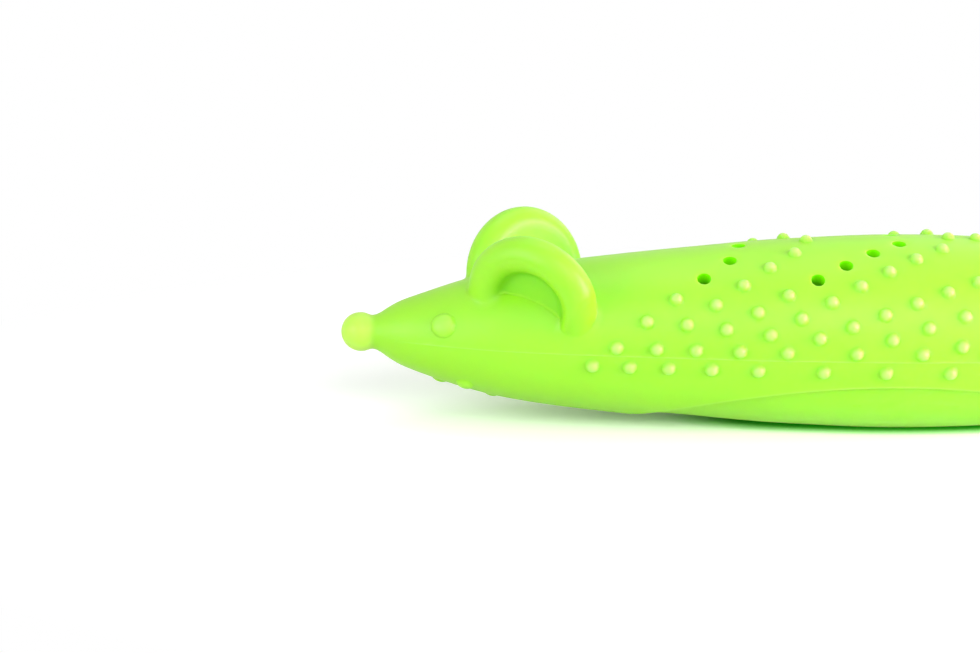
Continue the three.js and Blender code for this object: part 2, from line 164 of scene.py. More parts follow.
# Half width of the space under the arch, in body radii, and length of a vent's cutter, in walls.
ARCH_HALF_WIDTH, CUTTER_LENGTH = 1.2, 2.6
# From the rump's end in to the middle of the tail's root.
TAIL_INSET = 1 * MM
# Half a flake's length, width and thickness and its curl, in millimetres.
FLAKE_LONG, FLAKE_WIDE, FLAKE_THICK, FLAKE_CURL = (1.1, 1.9), (0.6, 1), 0.14, 0.35
# Shares by which a flake's points are pushed in or out.
FLAKE_DENTS = (0.7, 1.1)
# The mound of leaf, as shares of its box: how full and how rough it is, and how wide across.
MOUND_FULL, MOUND_ROUGH, MOUND_ACROSS = 0.97, 0.05, 0.9
# Crumbs of catnip: kinds of flake, crumbs in all, and how much of the mound's half size they lie out.
FLAKE_KINDS, CRUMBS, CRUMBS_OUT, CRUMBS_ACROSS = 4, 420, 0.93, 0.84


def length(name, millimetres, description):
    """A size that a user can change."""
    return FloatProperty(
        name=name, default=millimetres * MM, description=description, unit="LENGTH", precision=5
    )


def share(name, default, description):
    """A plain number that a user can change."""
    return FloatProperty(name=name, default=default, description=description)


def colour(name, default, description):
    """A linear colour that a user can change."""
    return FloatVectorProperty(
        name=name, default=default, description=description, subtype="COLOR", size=3, min=0, max=1
    )


class BodySizes(bpy.types.PropertyGroup):
    """Sizes of the silicone body"""

    long: length("Length", 153, "Nose tip to rump")
    radius: length("Radius", 17.5, "At the widest place")
    wall: length("Wall", 2.5, "Thickness of the silicone")
    snout: length("Snout", 16, "Length of the tip that turns up")
    snout_lift: length("Snout lift", 0.33, "How far the tip turns up")
    nose: length("Nose", 3.4, "Radius of the nose ball")
    neck: length("Neck", 2.97, "Radius behind the nose ball")
    neck_place: length("Neck place", 5.85, "From the nose tip")
    neck_fillet: length("Neck fillet", 1.2, "Softness between the ball and the body")
    widest: share("Widest place", 0.64, "As a share of the length")
    rump_fullness: share("Rump fullness", 2.4, "Exponent of the curve that closes the rear")
    chamber_start: share("Chamber start", 0.18, "As a share of the length")
    chamber_end: length("Chamber end", 144.0, "From the nose tip")
    chamber_round: length("Chamber round", 8, "Length over which the chamber closes")
    bump_radius: length("Bump radius", 1.1, "Foot of a bump")
    bump_height: length("Bump height", 1.0, "Height of a bump")
    fillet: length("Fillet", 0.5, "Softness round the foot of a bump or a nub")
    eye_fillet: length("Eye fillet", 0.12, "Softness round the foot of an eye")
    bump_pitch: length("Bump pitch", 6, "Along a line")
    flank_above: length("Upper row", 1.6, "Above the parting line")
    flank_below: length("Lower row", 1.75, "Below the parting line")
    vent_radius: length("Vent radius", 1.2, "Radius of a vent hole")
    vent_round: length("Vent round", 0.12, "Softness of a vent's edge")
    eye_radius: length("Eye radius", 2.1, "Foot of an eye")
    eye_height: length("Eye height", 1.1, "Height of an eye")
    eye_place: share("Eye place", 0.1142, "As a share of the length")
    eye_angle: share("Eye angle", 26.4, "Degrees above the flank")
    nub_radius: length("Nub radius", 1.45, "Foot of a chin nub")
    nub_height: length("Nub height", 0.7, "Height of a chin nub")
    seam_height: length("Parting line height", 0.06, "How far the mould's parting line stands out")
    seam_place: length("Parting line place", 0.2, "Above the body's axis")
    sides: IntProperty(name="Sides", default=144, description="Facets round the body")
    arch_radius: length("Arch radius", 117.5, "Radius of the belly arch")
    arch_drop: length("Arch drop", 4.5, "Crown of the arch below the axis")
    arch_place: share("Arch place", 0.6187, "As a share of the length")


class EarSizes(bpy.types.PropertyGroup):
    """Sizes of the ears"""

    radius: length("Radius", 12.02, "To the outside of the rim")
    rim: length("Rim", 3.02, "Radius of the rolled rim")
    cup: length("Cup", 2.72, "Crest of the rim to the cup's floor")
    dish: length("Dish", 0.5, "Extra hollow at the middle of the cup")
    back_dish: length("Back dish", 0.85, "Hollow of the ear's back, from the crest of the rim")
    fillet: length("Fillet", 0.7, "Between the rim and the cup's floor")
    foot: length("Foot", 1.1, "Reach of the fillet where the rim runs into the head")
    rise: length("Rise", 0.14, "Centre of the ear above the skin")
    place: share("Place", 0.2127, "As a share of the body's length")
    angle: share("Angle", 43.3, "Degrees above the flank")
    turn: share("Turn", 32, "Degrees that the cup faces towards the nose")
    lean: share("Lean", 13.4, "Degrees that the cup faces down")
    tuck: length("Tuck", 2.8, "How far its lower rear edge is pressed into the body")
    tuck_from: length("Tuck from", 4, "From the ear's centre to where that starts")
    tuck_over: length("Tuck over", 5, "Length over which it grows")
    tuck_turn: share("Tuck turn", 50, "Degrees below level of the way to that edge, along the ear")
    tuck_fall: share("Tuck fall", 17, "Degrees below level of the way that it is pressed")


class LidSizes(bpy.types.PropertyGroup):
    """Sizes of the belly lid"""

    step: length("Step", 0.9, "From the body's skin in to the lid's")
    wall: length("Wall", 2.2, "Thickness of the lid")
    gap: length("Gap", 0.12, "Clearance to the body")
    tip_step: share("Step at the tips", 0.55, "As a share of the step")
    taper: length("Taper", 10, "From each tip to where the step is whole")
    collar: length("Collar", 3, "Height of the collar above the opening's edge")
    collar_wall: length("Collar wall", 1.5, "Thickness of the collar")
    rest: length("Rest", 0.8, "Depth of the flat that it rests on")


class TailSizes(bpy.types.PropertyGroup):
    """Sizes of the tail"""

    long: length("Length", 60, "From the rump")
    radius: length("Radius", 3.8, "At the root")
    tip: length("Tip", 2, "Radius at the tip")
    root: length("Root", 5.4, "Radius of the flare on the rump")
    sunk: length("Sunk", 1.5, "How far the flare reaches into the rump")
    flare: length("Flare", 7, "Length of the flare")
    sway: length("Sway", 5, "Sideways wave")
    lift: length("Lift", 6, "Rise of the tip")


class FinishColours(bpy.types.PropertyGroup):
    """Colours and patterns of the silicone and the leaf"""

    lime: colour("Lime", (0.34, 0.76, 0.022), "Silicone of the body")
    # Pale is painted light: bumps, eyes and nubs are paler for the light that comes through the thin domes
    # and shines off them.
    pale: colour("Pale", (0.43, 0.84, 0.15), "Silicone of a bump")
    # Nose is painted light: the thin nose ball is paler for the light that comes through it.
    nose: colour("Nose", (0.48, 0.8, 0.08), "Silicone of the nose ball")
    # Deep is painted shade: a darker green in the hollow of each ear and in a ring round each dome.
    deep: colour("Deep", (0.2, 0.66, 0.008), "Silicone in the hollow of an ear")
    vent: colour("Vent", (0.12, 0.52, 0), "Silicone inside a vent, with light coming through it")
    lid: colour("Lid", (0.34, 0.78, 0.026), "Silicone of the belly lid")
    leaf: colour("Leaf", (0.14, 0.17, 0.05), "Dried leaf")
    stalk: colour("Stalk", (0.34, 0.3, 0.14), "Dried stalk")
    # Seam and lip give painted highlights: pale lines along the raised parting line and along the edge of
    # the belly opening.
    seam: share("Parting line", 0.3, "How pale the parting line is")
    lip: share("Lip", 0.25, "How pale the edge of the belly opening is")
    roughness: share("Roughness", 0.4, "Of the silicone")
    scatter: length("Scatter", 2, "How deep light goes into the silicone")
    cloud: length("Cloud", 18, "Size of the faint clouds in the silicone")
    grain: length("Grain", 0.35, "Size of the silicone's grain")
    fleck: length("Fleck", 1.2, "Size of the leaf's flecks")


class StageSizes(bpy.types.PropertyGroup):
    """Camera, lamps and floor"""

    elevation: share("Camera elevation", 17.08, "Degrees above the floor")
    azimuth: share("Camera azimuth", -3.64, "Degrees round from the mouse's left side")
    roll: share("Camera roll", 1.1, "Degrees")
    distance: length("Camera distance", 349.1, "To the point that it looks at")
    lens: share("Lens", 73.47, "Focal length in millimetres")
    look: length("Look", 25.9, "Point that it looks at, behind the nose tip")
    look_up: length("Look up", 1.21, "Point that it looks at, above the body's axis")
    floor: length("Floor", 6000, "Width of the floor")
    key: share("Key power", 2.2, "Watts of the main lamp, close to the right end")
    front: share("Front power", 1.0, "Watts of the lamp in front, above")
    rear: share("Rear power", 0.6, "Watts of the lamp behind on the right")
    top: share("Top power", 0.5, "Watts of the lamp overhead")
    fill: share("Fill power", 1.5, "Watts of the lamp on the left")
    world: share("World strength", 0.33, "Light from all round")
    contact: length("Contact", 2.8, "Reach of the green shade where the mouse touches the floor")
    shade_from: length("Shade from", 70, "From the middle to where the floor turns plain white")
    shade_to: length("Shade to", 120, "From the middle to where the floor is plain white")
    floor_white: share("Floor white", 1.18, "Whiteness of the floor that the camera sees")
    floor_bounce: share("Floor bounce", 0.75, "Whiteness of the floor for the light that it gives back")


SETTINGS = {
    "mouse_body": BodySizes,
    "mouse_ear": EarSizes,
    "mouse_lid": LidSizes,
    "mouse_tail": TailSizes,
    "mouse_colours": FinishColours,
    "mouse_stage": StageSizes,
}


def settings(name):
    """One group of settings on the scene."""
    return getattr(bpy.context.scene, name)


# Shapes of the body as functions


def smooth_through(points, x):
    """Smooth curve through points of rising x that doesn't overshoot them."""
    last = len(points) - 1
    i = 0
    while i < last - 1 and x > points[i + 1][0]:
        i += 1

    def slope(k):
        return (points[k + 1][1] - points[k][1]) / (points[k + 1][0] - points[k][0])

    def tangent(k):
        if k == 0:
            return slope(0)
        if k == last:
            return 0
        before, after = slope(k - 1), slope(k)
        return 2 * before * after / (before + after) if before * after > 0 else 0

    (x0, y0), (x1, y1) = points[i], points[i + 1]
    width = x1 - x0
    t = (x - x0) / width
    rise = t * t * (3 - 2 * t)
    start_pull = t * (1 - t) * (1 - t) * width * tangent(i)
    end_pull = t * t * (t - 1) * width * tangent(i + 1)
    return y0 + (y1 - y0) * rise + start_pull + end_pull


def trunk_radius(x):
    """Radius of the body behind the nose ball."""
    body = settings("mouse_body")
    widest = body.long * body.widest
    if x <= body.neck_place:
        return body.neck
    if x < widest:
        part = smooth_through(FOREBODY_SHARES, (x - body.neck_place) / (widest - body.neck_place))
        return body.neck + (body.radius - body.neck) * part
    back = min((x - widest) / (body.long - widest), 1)
    return body.radius * (1 - back**body.rump_fullness) ** (1 / body.rump_fullness)


def fillet_rise(away, reach):
    """Extra height of a soft blend where two surfaces are this far apart."""
    return max(reach - abs(away), 0) ** 2 / (4 * reach)


def skin_radius(x):
    """Radius of the outer skin, with the nose ball flowing into the body."""
    body = settings("mouse_body")
    if x <= 0 or x >= body.long:
        return 0
    ball = math.sqrt(max(body.nose**2 - (x - body.nose) ** 2, 0))
    if x < body.nose:
        return ball
    trunk = trunk_radius(x) if x > body.neck_place else body.neck - (body.neck_place - x) * NECK_FALL
    return max(ball, trunk) + fillet_rise(ball - trunk, body.neck_fillet)


def end_round(distance, over):
    """0 at an end and 1 inside, rounded like a quarter of a circle."""
    t = min(max(distance / over, 0), 1)
    return math.sqrt(1 - (1 - t) ** 2)


def chamber_radius(x):
    """Radius of the catnip chamber."""
    body = settings("mouse_body")
    start = body.long * body.chamber_start
    ends = end_round(x - start, body.chamber_round) * end_round(body.chamber_end - x, body.chamber_round)
    return (trunk_radius(x) - body.wall) * ends


def arch_height(x):
    """Height of the belly arch above the axis."""
    body = settings("mouse_body")
    across = x - body.long * body.arch_place
    return math.sqrt(body.arch_radius**2 - across**2) - body.arch_radius - body.arch_drop


def line_places(start, angle, climb, pitch, bumps, vents):
    """Places of a climbing line: x, degrees above the flank, and whether it is a vent."""
    body = settings("mouse_body")
    x = body.long * start
    places = []
    for i in range(bumps + vents):
        places.append((x, angle + i * climb, i >= bumps))
        along = trunk_radius(x) * math.radians(climb)
        x += math.sqrt(max((body.bump_pitch * pitch) ** 2 - along**2, 0))
    return places


def stud_places():
    """Every bump and vent: x, degrees above the flank, side, and whether it is a vent."""
    body = settings("mouse_body")
    one_side = []
    for row, above in ((UPPER_ROW, body.flank_above), (LOWER_ROW, -body.flank_below)):
        for part in row:
            x = body.long * part
            one_side.append((x, math.degrees(above / trunk_radius(x)), False))
    for line in CLIMBING_LINES:
        one_side += line_places(*line)
    both = [(x, angle, side, vent) for side in (-1, 1) for x, angle, vent in one_side]
    crown = [(body.long * part, 90, 1, False) for part in CROWN_BUMPS]
    crown += [(body.long * part, 90, 1, True) for part in CROWN_VENTS]
    return both + crown


def body_place():
    """Place of the nose tip's axis point in the frame."""
    body, lid = settings("mouse_body"), settings("mouse_lid")
    return Vector((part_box("body_shell")[0].x, 0, body.radius - lid.step - lid.rest))


def on_skin(x, degrees, side):
    """A point of the skin and the direction out of it."""
    angle = math.radians(degrees)
    step = settings("mouse_body").radius / 100
    slope = (trunk_radius(x + step) - trunk_radius(x - step)) / (2 * step)
    around = Vector((0, side * math.cos(angle), math.sin(angle)))
    return Vector((x, 0, 0)) + around * trunk_radius(x), (around - Vector((slope, 0, 0))).normalized()


# Modelling by hand


def rest_selection():
    """Leaves edit mode and deselects everything."""
    if bpy.context.object and bpy.context.object.mode != "OBJECT":
        bpy.ops.object.mode_set(mode="OBJECT")
    bpy.ops.object.select_all(action="DESELECT")


def take(obj):
    """Makes obj the one selected, active object."""
    rest_selection()
    obj.select_set(True)
    bpy.context.view_layer.objects.active = obj


def edit_all():
    """Enters edit mode with everything selected."""
    bpy.ops.object.mode_set(mode="EDIT")
    bpy.ops.mesh.select_all(action="SELECT")


def lathe(name, profile, sides):
    """Draws a chain of points (along X, out from it) and spins it about X into a closed skin."""
    rest_selection()
    bpy.ops.mesh.primitive_plane_add(size=MM, location=(0, 0, 0))
    obj = bpy.context.object
    obj.name = name
    points = [Vector((x, 0, radius)) for x, radius in profile]
    bpy.ops.object.mode_set(mode="EDIT")
    bpy.ops.mesh.select_mode(type="VERT")
    bpy.ops.mesh.select_all(action="SELECT")
    bpy.ops.mesh.merge(type="CENTER")
    bpy.ops.transform.translate(value=points[0])
    for here, there in zip(points, points[1:]):
        bpy.ops.mesh.extrude_region_move(TRANSFORM_OT_translate={"value": there - here})
    bpy.ops.mesh.select_all(action="SELECT")
    bpy.ops.mesh.spin(steps=sides, angle=2 * math.pi, center=(0, 0, 0), axis=(1, 0, 0))
    bpy.ops.mesh.select_all(action="SELECT")
    bpy.ops.mesh.remove_doubles(threshold=MM / 1000)
    bpy.ops.mesh.normals_make_consistent(inside=False)
    bpy.ops.object.mode_set(mode="OBJECT")
    return obj


def combine(obj, tools, operation):
    """Adds, cuts or keeps what the tools share with obj, and removes the tools."""
    for tool in tools:
        take(obj)
        modifier = obj.modifiers.new("Combine", "BOOLEAN")
        modifier.object = tool
        modifier.operation = operation
        modifier.solver = "MANIFOLD"
        bpy.ops.object.modifier_apply(modifier=modifier.name)
        bpy.data.objects.remove(tool)
    return obj


def join(objs, name):
    """Joins objects into one."""
    take(objs[0])
    for obj in objs[1:]:
        obj.select_set(True)
    bpy.ops.object.join()
    objs[0].name = name
    return objs[0]


def apply_place(obj):
    """Puts the object's place into its mesh."""
    take(obj)
    bpy.ops.object.transform_apply(location=True, rotation=True, scale=True)


def aim(obj, place, out):
    """Turns a piece modelled along X so that X points out of the skin at a place on it."""
    obj.matrix_world = Matrix.Translation(place) @ out.to_track_quat("X", "Z").to_matrix().to_4x4()
    apply_place(obj)


def smooth(obj, degrees=35):
    """Shades a piece smooth except over real edges."""
    take(obj)
    bpy.ops.object.shade_smooth_by_angle(angle=math.radians(degrees))


def finish_piece(obj, material):
    """Moves a piece from the body's own axis to its place in the frame, and gives it its surface."""
    obj.location = body_place()
    apply_place(obj)
    smooth(obj)
    obj.data.materials.clear()
    obj.data.materials.append(material)


def spaced(start, end, step):
    """Even stations from start to end, about step apart."""
    count = max(round((end - start) / step), 1)
    return [start + (end - start) * i / count for i in range(count + 1)]


def soft_step(low, high, value):
    """0 below low and 1 above high, with a soft step between."""
    part = min(max((value - low) / (high - low), 0), 1)
    return part * part * (3 - 2 * part)


def dome_height(away, radius, height, fillet):
    """Height of a round dome, with a fillet round its foot, at a distance from its middle."""
    dome = height * math.sqrt(1 - (away / radius) ** 2) if away < radius else 2 * (radius - away)
    return max(dome, 0) + fillet_rise(dome, fillet)


def skin_profile():
    """Stations of the outer skin, closer together at the nose, the neck and the rump."""
    body = settings("mouse_body")
    ball = [body.nose * (1 - math.cos(math.radians(a))) for a in BALL_TURNS]
    neck = spaced(ball[-1], body.neck_place + 3 * MM, NECK_STEP)[1:]
    trunk = spaced(neck[-1], body.long * RUMP_START, TRUNK_STEP)[1:]
    left = body.long - trunk[-1]
    rump = [body.long - left * math.cos(math.radians(a)) for a in RUMP_TURNS]
    return [(x, skin_radius(x)) for x in ball + neck + trunk + rump]


def nearest_finder(points):
    """Finds the nearest of some points: its number and how far away it is."""
    tree = KDTree(len(points))
    for i, point in enumerate(points):
        tree.insert(point, i)
    tree.balance()
    return lambda place: tree.find(place)[1:]


def subdivide_where(obj, wanted, cuts):
    """Splits the faces whose middles are wanted."""
    take(obj)
    for kind in (obj.data.polygons, obj.data.edges, obj.data.vertices):
        kind.foreach_set("select", [False] * len(kind))
    for face in obj.data.polygons:
        face.select = wanted(face.center)
    bpy.ops.object.mode_set(mode="EDIT")
    bpy.ops.mesh.select_mode(type="FACE")
    bpy.ops.mesh.subdivide(number_cuts=cuts)
    bpy.ops.object.mode_set(mode="OBJECT")


def relax_where(obj, wanted, repeats):
    """Smooths the vertices that are wanted into a soft blend."""
    take(obj)
    bpy.ops.object.mode_set(mode="EDIT")
    bpy.ops.mesh.select_mode(type="VERT")
    bpy.ops.mesh.select_all(action="DESELECT")
    bpy.ops.object.mode_set(mode="OBJECT")
    for vertex in obj.data.vertices:
        vertex.select = wanted(vertex.co)
    bpy.ops.object.mode_set(mode="EDIT")
    bpy.ops.mesh.vertices_smooth(factor=0.5, repeat=repeats)
    bpy.ops.object.mode_set(mode="OBJECT")


def raise_domes(obj, domes):
    """Lifts domes out of the skin. Each has a place, a direction, a radius, a height and a fillet."""
    nearest = nearest_finder([place for place, *_ in domes])
    for vertex in obj.data.vertices:
        i, away = nearest(vertex.co)
        place, out, radius, height, fillet = domes[i]
        if away < radius + fillet:
            offset = vertex.co - place
            flat = (offset - out * offset.dot(out)).length
            vertex.co = vertex.co + out * dome_height(flat, radius, height, fillet)


def soften_vents(obj, places):
    """Rounds the skin in towards each vent."""
    body = settings("mouse_body")
    reach = body.vent_radius * VENT_REACH
    nearest = nearest_finder(places)
    for vertex in obj.data.vertices:
        _, away = nearest(vertex.co)
        if away < reach:
            drop = VENT_DEPTH * body.vent_round * (1 - away / reach)
            vertex.co.yz = vertex.co.yz * (1 - drop / vertex.co.yz.length)


def arch_prism(raise_by):
    """The space under the belly arch, right across the body."""
    body = settings("mouse_body")
    radius = body.arch_radius + raise_by
    middle = Vector((body.long * body.arch_place, 0, -body.arch_drop - body.arch_radius))
    rest_selection()
    bpy.ops.mesh.primitive_cylinder_add(
        vertices=ARCH_SIDES, radius=radius, depth=2 * (body.radius * ARCH_HALF_WIDTH), location=middle
    )
    obj = bpy.context.object
    obj.rotation_euler = (math.pi / 2, 0, 0)
    apply_place(obj)
    edit_all()
    bpy.ops.mesh.bisect(
        plane_co=(0, 0, -2 * body.radius), plane_no=(0, 0, 1), clear_inner=True, use_fill=True
    )
    bpy.ops.object.mode_set(mode="OBJECT")
    return obj


def ear_profile():
    """Points of an ear about its own axis: the dished back, the rolled rim, a fillet and the floor."""
    ear = settings("mouse_ear")
    ring = ear.radius - ear.rim
    floor = ear.rim - ear.cup
    slope = math.asin((floor + ear.fillet) / (ear.rim + ear.fillet))
    floor_edge = ring - (ear.rim + ear.fillet) * math.cos(slope)
    chain = []
    for i in range(BACK_POINTS):
        out = i / BACK_POINTS
        chain.append((ear.back_dish * (1 - out**2) - ear.rim, ring * out))
    for angle in spaced(1.5 * math.pi, 3 * math.pi - slope, math.radians(RIM_TURN)):
        chain.append((ear.rim * math.sin(angle), ring + ear.rim * math.cos(angle)))
    for angle in spaced(-slope, -math.pi / 2, math.radians(FILLET_TURN))[1:]:
        turned = (floor + ear.fillet * (1 + math.sin(angle)), floor_edge + ear.fillet * math.cos(angle))
        chain.append(turned)
    for i in range(1, FLOOR_POINTS + 1):
        out = 1 - i / FLOOR_POINTS
        chain.append((floor - ear.dish * (1 - out**2), floor_edge * out))
    return chain


class EarStand:
    """Where an ear stands, the way that its cup faces, and how its lower rear edge is tucked in."""

    def __init__(self, side):
        ear, body = settings("mouse_ear"), settings("mouse_body")
        degrees = (ear.turn, ear.lean, ear.angle, ear.tuck_turn, ear.tuck_fall)
        turn, lean, angle, tuck_turn, fall = (math.radians(value) for value in degrees)
        level = math.cos(lean)
        x = body.long * ear.place
        radius = trunk_radius(x) + ear.rise
        self.centre = Vector((x, side * radius * math.cos(angle), radius * math.sin(angle)))
        self.facing = Vector((-level * math.sin(turn), side * level * math.cos(turn), -math.sin(lean)))
        rearward = Vector((0, 0, -side)).cross(self.facing).normalized()
        upward = -side * self.facing.cross(rearward)
        self.to_edge = rearward * math.cos(tuck_turn) - upward * math.sin(tuck_turn)
        self.inward = Vector((0, -side * math.cos(fall), -math.sin(fall)))

    def tuck(self, offset):
        """How far a point of the ear moves when its edge is tucked in."""
        ear = settings("mouse_ear")
        pressed = soft_step(ear.tuck_from, ear.tuck_from + ear.tuck_over, offset.dot(self.to_edge))
        return self.inward * ear.tuck * pressed

    def untucked(self, point):
        """Where a point lay before the edge was tucked in: above the ear's plane and out from its axis."""
        offset = point - self.centre
        flat = offset
        for _ in range(4):
            flat = offset - self.tuck(flat)
        above = flat.dot(self.facing)
        return above, (flat - self.facing * above).length

    def from_rim(self, point):
        """Distance of a point from the surface of the tucked rim."""
        ear = settings("mouse_ear")
        above, out = self.untucked(point)
        return math.hypot(out - (ear.radius - ear.rim), above) - ear.rim

    def hollow(self, point):
        """0 on the crest of the rim and 1 down in the corner of the cup, for points of the ear only: how
        much painted shade the hollow of the ear gets.
        """
        ear = settings("mouse_ear")
        if point.yz.length - trunk_radius(point.x) < 0.5 * MM:
            return 0
        above, out = self.untucked(point)
        below_floor = ear.rim - ear.cup - ear.dish - 0.1 * MM
        if out > ear.radius - ear.rim or above < below_floor:
            return 0
        down = min(max((ear.rim - above) / ear.cup, 0), 1)
        corner = min(max(out / (ear.radius - 2 * ear.rim), 0), 1)
        return down**2 * (0.45 + 0.55 * corner**3)


def make_ear(stand):
    """One ear, lathed, set on the head, and swollen where its rim runs into the head."""
    ear = settings("mouse_ear")
    obj = lathe("ear", ear_profile(), EAR_SIDES)
    aim(obj, stand.centre, stand.facing)
    rim = [stand.from_rim(vertex.co) < TINY for vertex in obj.data.vertices]
    for vertex in obj.data.vertices:
        vertex.co = vertex.co + stand.tuck(vertex.co - stand.centre)
    obj.data.update()
    normals = [normal.vector.copy() for normal in obj.data.vertex_normals]
    for vertex, normal, on_rim in zip(obj.data.vertices, normals, rim):
        away = abs(vertex.co.yz.length - trunk_radius(vertex.co.x))
        if on_rim:
            vertex.co = vertex.co + normal * fillet_rise(away, ear.foot)
    return obj


def swell_at_ears(obj, stands):
    """Swells the head's skin where a rim runs into it."""
    reach = settings("mouse_ear").foot
    for vertex in obj.data.vertices:
        away = min(abs(stand.from_rim(vertex.co)) for stand in stands)
        if away < reach:
            vertex.co.yz = vertex.co.yz * (1 + fillet_rise(away, reach) / vertex.co.yz.length)


def at_ear_foot(stands, reach):
    """Tells whether a point lies within reach of both the head's skin and an ear's rim."""

    def test(point):
        if abs(Vector(point).yz.length - trunk_radius(point.x)) > reach:
            return False
        return min(abs(stand.from_rim(point)) for stand in stands) < reach

    return test


def add_measure(obj, name, values, each="POINT"):
    """Stores one number for each vertex or face corner, for the material to read."""
    attribute = obj.data.attributes.new(name, "FLOAT", each)
    attribute.data.foreach_set("value", values)


# Materials


class Socket:
    """A value in a material's nodes, which Python's operators can work on."""

    def __init__(self, build, link):
        self.build = build
        self.link = link

    def maths(self, operation, *others):
        return self.build.node("ShaderNodeMath", {"operation": operation}, [self, *others])

    def __add__(self, other):
        return self.maths("ADD", other)

    __radd__ = __add__

    def __sub__(self, other):
        return self.maths("SUBTRACT", other)

    def __rsub__(self, other):
        return self.build.node("ShaderNodeMath", {"operation": "SUBTRACT"}, [other, self])

    def __mul__(self, other):
        return self.maths("MULTIPLY", other)

    __rmul__ = __mul__

    def __pow__(self, other):
        return self.maths("POWER", other)

    def between(self, low, high):
        """0 below low and 1 above high, with a soft step between."""
        values = {"Value": self, "From Min": low, "From Max": high}
        return self.build.node("ShaderNodeMapRange", {"interpolation_type": "SMOOTHSTEP"}, values)


class Finish:
    """Builds a material or a world out of nodes."""

    def __init__(self, owner):
        self.owner = owner
        self.owner.use_nodes = True
        self.tree = self.owner.node_tree
        self.tree.nodes.clear()

    def node(self, kind, wanted=None, values=None, out=0):
        """Adds a node, sets its settings, then sets or links its sockets, and gives one output."""
        made = self.tree.nodes.new(kind)
        for key, value in (wanted or {}).items():
            if key == "stops":
                ramp = made.color_ramp
                while len(ramp.elements) < len(value):
                    ramp.elements.new(0.5)
                for element, (place, tint) in zip(ramp.elements, value):
                    element.position, element.color = place, (*tint, 1)
            else:
                setattr(made, key, value)
        items = values.items() if isinstance(values, dict) else enumerate(values or [])
        for key, value in items:
            socket = made.inputs[key]
            if isinstance(value, Socket):
                self.tree.links.new(value.link, socket)
            elif value is not None:
                socket.default_value = value
        return Socket(self, made.outputs[out]) if made.outputs else None

    def mix(self, factor, first, second):
        """Blends two colours, each a socket or three numbers."""
        first, second = (tint if isinstance(tint, Socket) else (*tint, 1) for tint in (first, second))
        return self.node("ShaderNodeMix", {"data_type": "RGBA"}, {0: factor, 6: first, 7: second}, out=2)

    def place(self):
        """The piece's own coordinates."""
        return self.node("ShaderNodeTexCoord", out=3)

    def along(self, axis):
        """One of the piece's own coordinates, 0 to 2."""
        return self.node("ShaderNodeSeparateXYZ", None, [self.place()], out=axis)

    def noise(self, size, detail=2):
        """Cloudy pattern with features of about the given size, in metres."""
        values = {"Vector": self.place(), "Scale": 1 / size, "Detail": detail}
        return self.node("ShaderNodeTexNoise", None, values)

    def measure(self, name):
        """A number stored on the piece's vertices."""
        return self.node("ShaderNodeAttribute", {"attribute_name": name}, None, out=2)

    def rays(self):
        """Masks of the rays that see the plain background."""
        return [self.node("ShaderNodeLightPath", out=ray) for ray in SEEN_RAYS]

    def surface(self, shader, output="ShaderNodeOutputMaterial"):
        """Ends the nodes with a shader and gives the material or the world."""
        self.node(output, None, {"Surface": shader})
        return self.owner


def silicone(name, base, studded):
    """Translucent moulded silicone, with painted light: paler on the bumps, eyes, nubs and nose ball for
    the light that comes through them, painted highlights along the parting line and the lip, and painted
    shade in the ears' hollows and round the domes.
    """
    body, colours = settings("mouse_body"), settings("mouse_colours")
    make = Finish(bpy.data.materials.new(name))
    cloud = make.noise(colours.cloud, 1).between(*CLOUD_EDGE)
    tint = make.mix(cloud * 0.5, base, [c * 0.94 for c in base])
    shine = None
    if studded:
        place = body_place()
        from_nose = make.along(0) - place.x
        # Painted highlight: a pale line along the raised parting line, from a little behind the nose.
        from_seam = (make.along(2) - (place.z + body.seam_place)).maths("ABSOLUTE")
        seam_highlight = 1 - from_seam.between(*SEAM_EDGE)
        seam_highlight = seam_highlight * from_nose.between(*SEAM_START)
        tint = make.mix(seam_highlight * colours.seam, tint, colours.pale)
        # Painted highlight: a pale line along the lip of the belly opening.
        across = from_nose - body.long * body.arch_place
        above = make.along(2) - (place.z - body.arch_drop - body.arch_radius)
        from_arch = (across * across + above * above) ** 0.5 - body.arch_radius
        lip_highlight = 1 - from_arch.between(*LIP_EDGE)
        tint = make.mix(lip_highlight * colours.lip, tint, colours.pale)
        # Painted light: bumps, eyes and nubs paler for the light that comes through them and shines off
        # them.
        tint = make.mix(make.measure("pale"), tint, colours.pale)
        # Painted light: the nose ball paler for the light that comes through it.
        nose_light = 1 - from_nose.between(*NOSE_EDGE)
        tint = make.mix(nose_light, tint, colours.nose)
        # Painted shade: darker green in the hollow of each ear and in a ring round each dome.
        tint = make.mix(make.measure("deep"), tint, colours.deep)
        glow = make.measure("glow")
        tint = make.mix(glow.between(0, 0.1), tint, colours.vent)
        shine = make.mix(glow, (0, 0, 0), colours.vent)
    values = {"Strength": 0.12, "Distance": 0.02 * MM, "Height": make.noise(colours.grain)}
    return make.surface(
        make.node(
            "ShaderNodeBsdfPrincipled",
            {"subsurface_method": "RANDOM_WALK"},
            {
                "Base Color": tint,
                "Roughness": colours.roughness + cloud * 0.06,
                "IOR": 1.42,
                "Emission Color": shine,
                "Emission Strength": 1 if studded else 0,
                "Subsurface Weight": 1,
                "Subsurface Radius": (0.8, 1.0, 0.3),
                "Subsurface Scale": colours.scatter,
                "Normal": make.node("ShaderNodeBump", None, values),
            },
        )
    )


